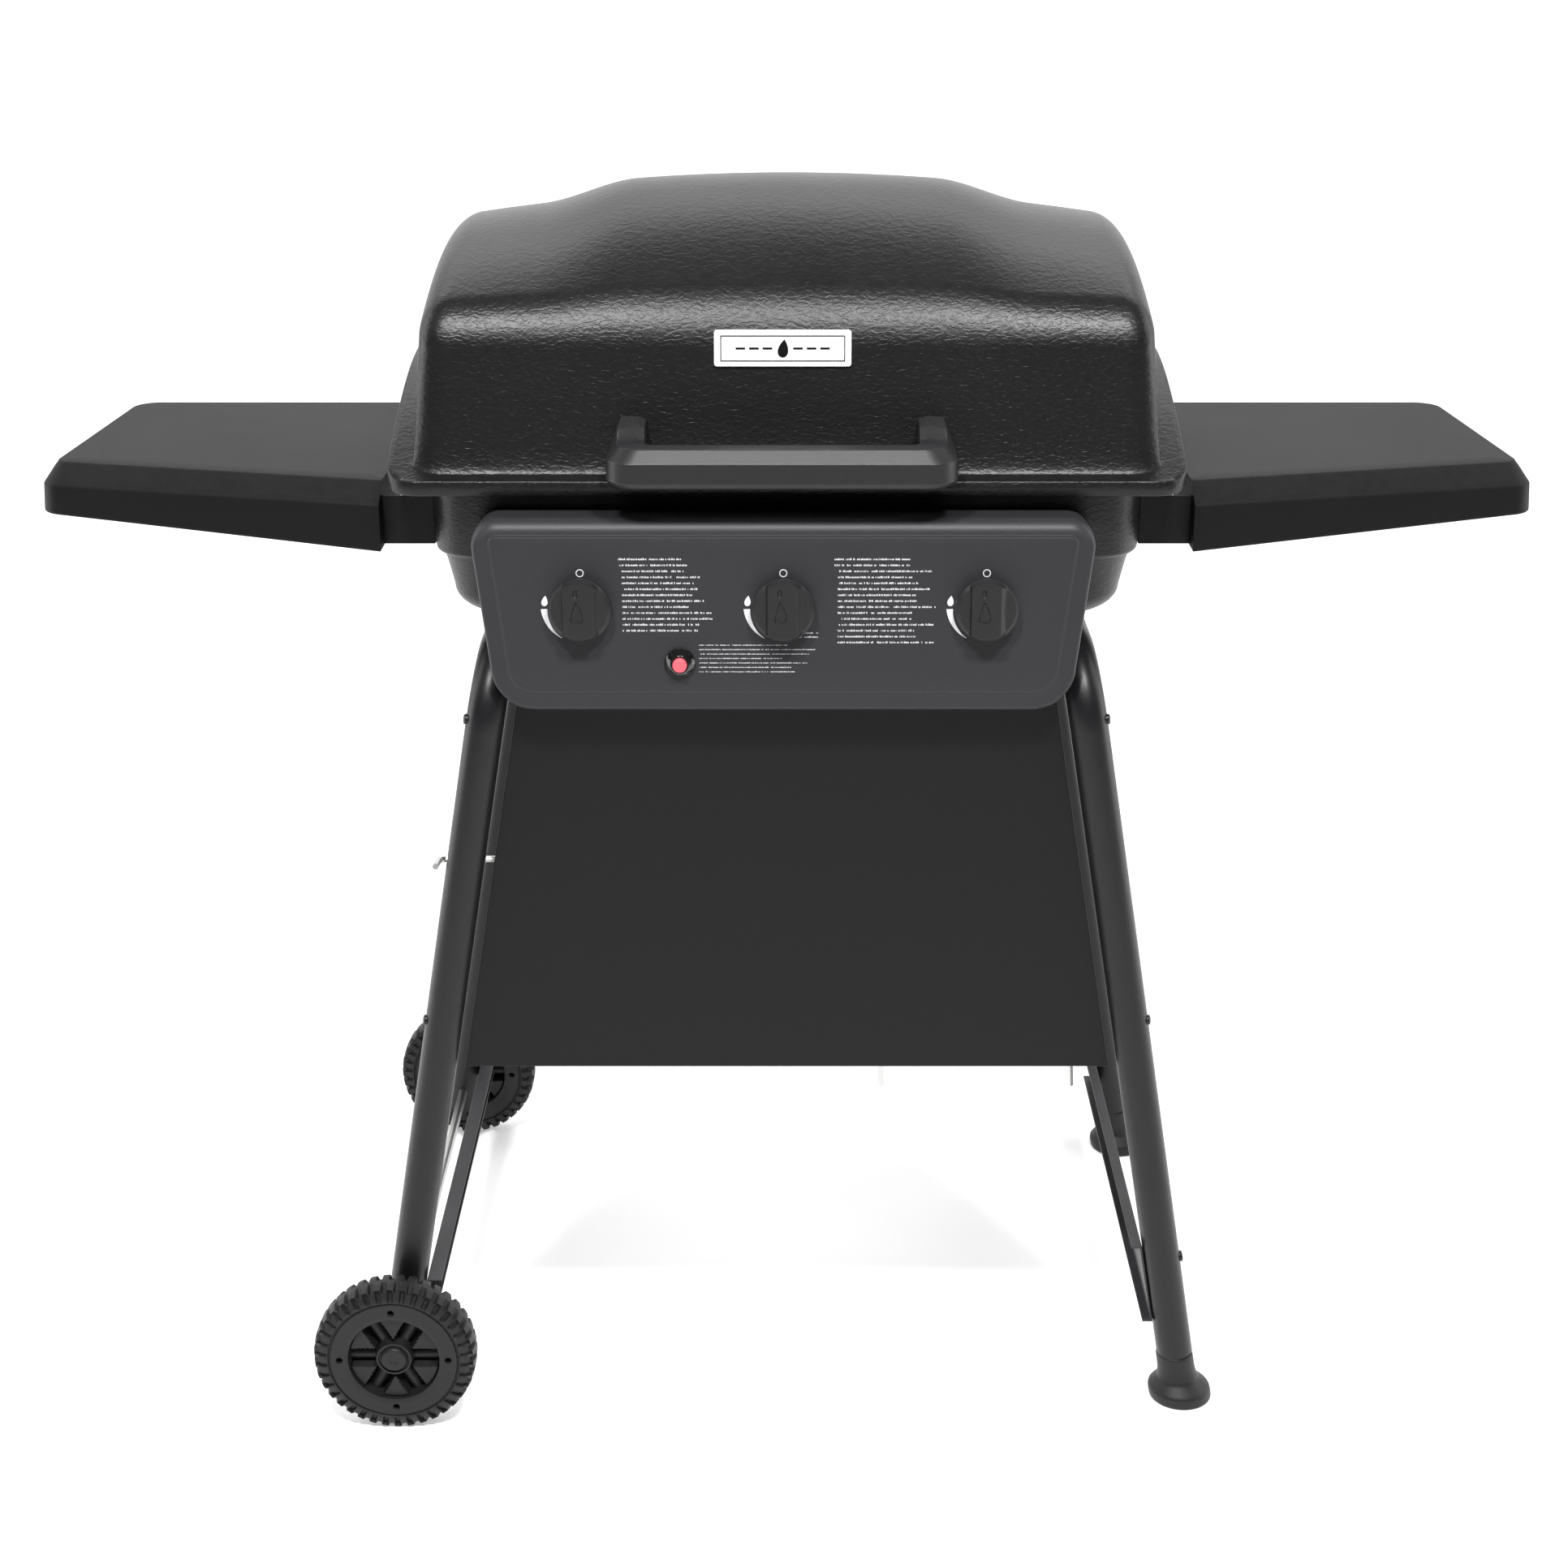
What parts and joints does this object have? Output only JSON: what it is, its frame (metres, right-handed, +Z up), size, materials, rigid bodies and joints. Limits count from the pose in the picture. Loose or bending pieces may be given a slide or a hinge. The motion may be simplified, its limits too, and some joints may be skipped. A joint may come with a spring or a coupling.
{
  "type": "gas barbecue grill",
  "caption": "Gas barbecue grill on a tube cart: cast firebox and hinged domed lid, side shelves, control panel with turning knobs and push igniter, wheels on one side.",
  "frame": {"origin": "on the ground below the middle of the cart", "axes": "+X to the right seen from the front, +Y to the back, +Z up"},
  "size_m": [1.3536, 0.616, 1.1221],
  "materials": {
    "cast_black": "satin black paint over cast aluminium, fine orange peel",
    "sheet_black": "satin black powder coat on sheet steel",
    "tube_black": "satin black powder coat on steel tube",
    "moulded_black": "matt black moulded plastic",
    "handle_grey": "dark grey moulded plastic",
    "bright_steel": "plain zinc-plated steel",
    "burner_steel": "plain stainless tube",
    "brass": "machined brass",
    "enamel_black": "glossy black porcelain enamel",
    "gloss_black": "gloss black plastic",
    "button_red": "red plastic",
    "brushed_aluminium": "brushed aluminium",
    "ceramic_white": "glazed white ceramic"
  },
  "bodies": {
    "cart": {"control_panel": "sheet_black", "manifold": "burner_steel", "igniter_housing": "gloss_black", "leg_frame_left": "tube_black", "leg_frame_right": "tube_black", "axle": "bright_steel", "foot_front": "moulded_black", "foot_rear": "moulded_black", "side_brace_left": "sheet_black", "side_brace_right": "sheet_black", "rear_crossbar": "sheet_black", "front_panel": "sheet_black", "tank_guard": "bright_steel", "firebox": "cast_black", "hinge_pin_left": "bright_steel", "hinge_pin_right": "bright_steel", "hinge_bracket_left": "sheet_black", "hinge_bracket_right": "sheet_black", "igniter_electrode": "ceramic_white", "igniter_lead": "gloss_black", "carryover_tube": "burner_steel", "grate_left": "enamel_black", "grate_right": "enamel_black", "shelf_left": "moulded_black", "shelf_right": "moulded_black", "grease_cup": "bright_steel", "grease_cup_clip": "bright_steel", "valve_left": "brass", "burner_left": "burner_steel", "heat_tent_left": "enamel_black", "valve_middle": "brass", "burner_middle": "burner_steel", "heat_tent_middle": "enamel_black", "valve_right": "brass", "burner_right": "burner_steel", "heat_tent_right": "enamel_black", "shelf_bracket_left_front": "sheet_black", "shelf_bracket_left_rear": "sheet_black", "shelf_bracket_right_front": "sheet_black", "shelf_bracket_right_rear": "sheet_black"},
    "lid": {"lid": "cast_black", "handle": "handle_grey", "badge_plate": "brushed_aluminium", "lid_lug_left": "cast_black", "lid_lug_right": "cast_black"},
    "warming_rack": {"warming_rack": "bright_steel"},
    "rack_links": {"rack_link_left": "bright_steel", "rack_link_right": "bright_steel"},
    "wheel_front": {"wheel_front": "moulded_black", "axle_cap_front": "moulded_black"},
    "wheel_rear": {"wheel_rear": "moulded_black", "axle_cap_rear": "moulded_black"},
    "igniter_button": {"igniter_button": "button_red"},
    "stem_left": {"valve_stem_left": "brass"},
    "knob_left": {"knob_left": "handle_grey"},
    "stem_middle": {"valve_stem_middle": "brass"},
    "knob_middle": {"knob_middle": "handle_grey"},
    "stem_right": {"valve_stem_right": "brass"},
    "knob_right": {"knob_right": "handle_grey"}
  },
  "joints": [
    {"name": "lid_hinge", "type": "hinge", "parent": "cart", "child": "lid", "pos_m": [0, 0.232, 0.965], "axis": [-1, 0, 0], "range_deg": [0, 90]},
    {"name": "rack_swing", "type": "hinge", "parent": "lid", "child": "warming_rack", "pos_m": [0, 0.14, 1], "axis": [1, 0, 0], "range_deg": [0, 90]},
    {"name": "rack_link_swing", "type": "hinge", "parent": "cart", "child": "rack_links", "pos_m": [0, 0.15, 0.915], "axis": [-1, 0, 0], "range_deg": [0, 90]},
    {"name": "wheel_front_roll", "type": "hinge", "parent": "cart", "child": "wheel_front", "pos_m": [-0.3685, -0.291, 0.0762], "axis": [0, 1, 0], "continuous": true},
    {"name": "wheel_rear_roll", "type": "hinge", "parent": "cart", "child": "wheel_rear", "pos_m": [-0.3685, 0.291, 0.0762], "axis": [0, 1, 0], "continuous": true},
    {"name": "knob_left_push", "type": "slide", "parent": "cart", "child": "stem_left", "axis": [0, 0.9972, -0.0741], "range_m": [0, 0.004], "stiffness_N_per_m": 1500, "springref_m": -0.003},
    {"name": "knob_left_turn", "type": "hinge", "parent": "stem_left", "child": "knob_left", "pos_m": [-0.1757, -0.27796, 0.79861], "axis": [0, -0.9972, 0.0741], "range_deg": [0, 150]},
    {"name": "knob_middle_push", "type": "slide", "parent": "cart", "child": "stem_middle", "axis": [0, 0.9972, -0.0741], "range_m": [0, 0.004], "stiffness_N_per_m": 1500, "springref_m": -0.003},
    {"name": "knob_middle_turn", "type": "hinge", "parent": "stem_middle", "child": "knob_middle", "pos_m": [-0.003, -0.27796, 0.79861], "axis": [0, -0.9972, 0.0741], "range_deg": [0, 150]},
    {"name": "knob_right_push", "type": "slide", "parent": "cart", "child": "stem_right", "axis": [0, 0.9972, -0.0741], "range_m": [0, 0.004], "stiffness_N_per_m": 1500, "springref_m": -0.003},
    {"name": "knob_right_turn", "type": "hinge", "parent": "stem_right", "child": "knob_right", "pos_m": [0.1697, -0.27796, 0.79861], "axis": [0, -0.9972, 0.0741], "range_deg": [0, 150]},
    {"name": "igniter_push", "type": "slide", "parent": "cart", "child": "igniter_button", "axis": [0, 0.9972, -0.0741], "range_m": [0, 0.004], "stiffness_N_per_m": 1500, "springref_m": -0.003}
  ],
  "couplings": [
    {"joint": "rack_swing", "follows": "lid_hinge", "ratio": 1},
    {"joint": "rack_link_swing", "follows": "lid_hinge", "ratio": 1}
  ]
}
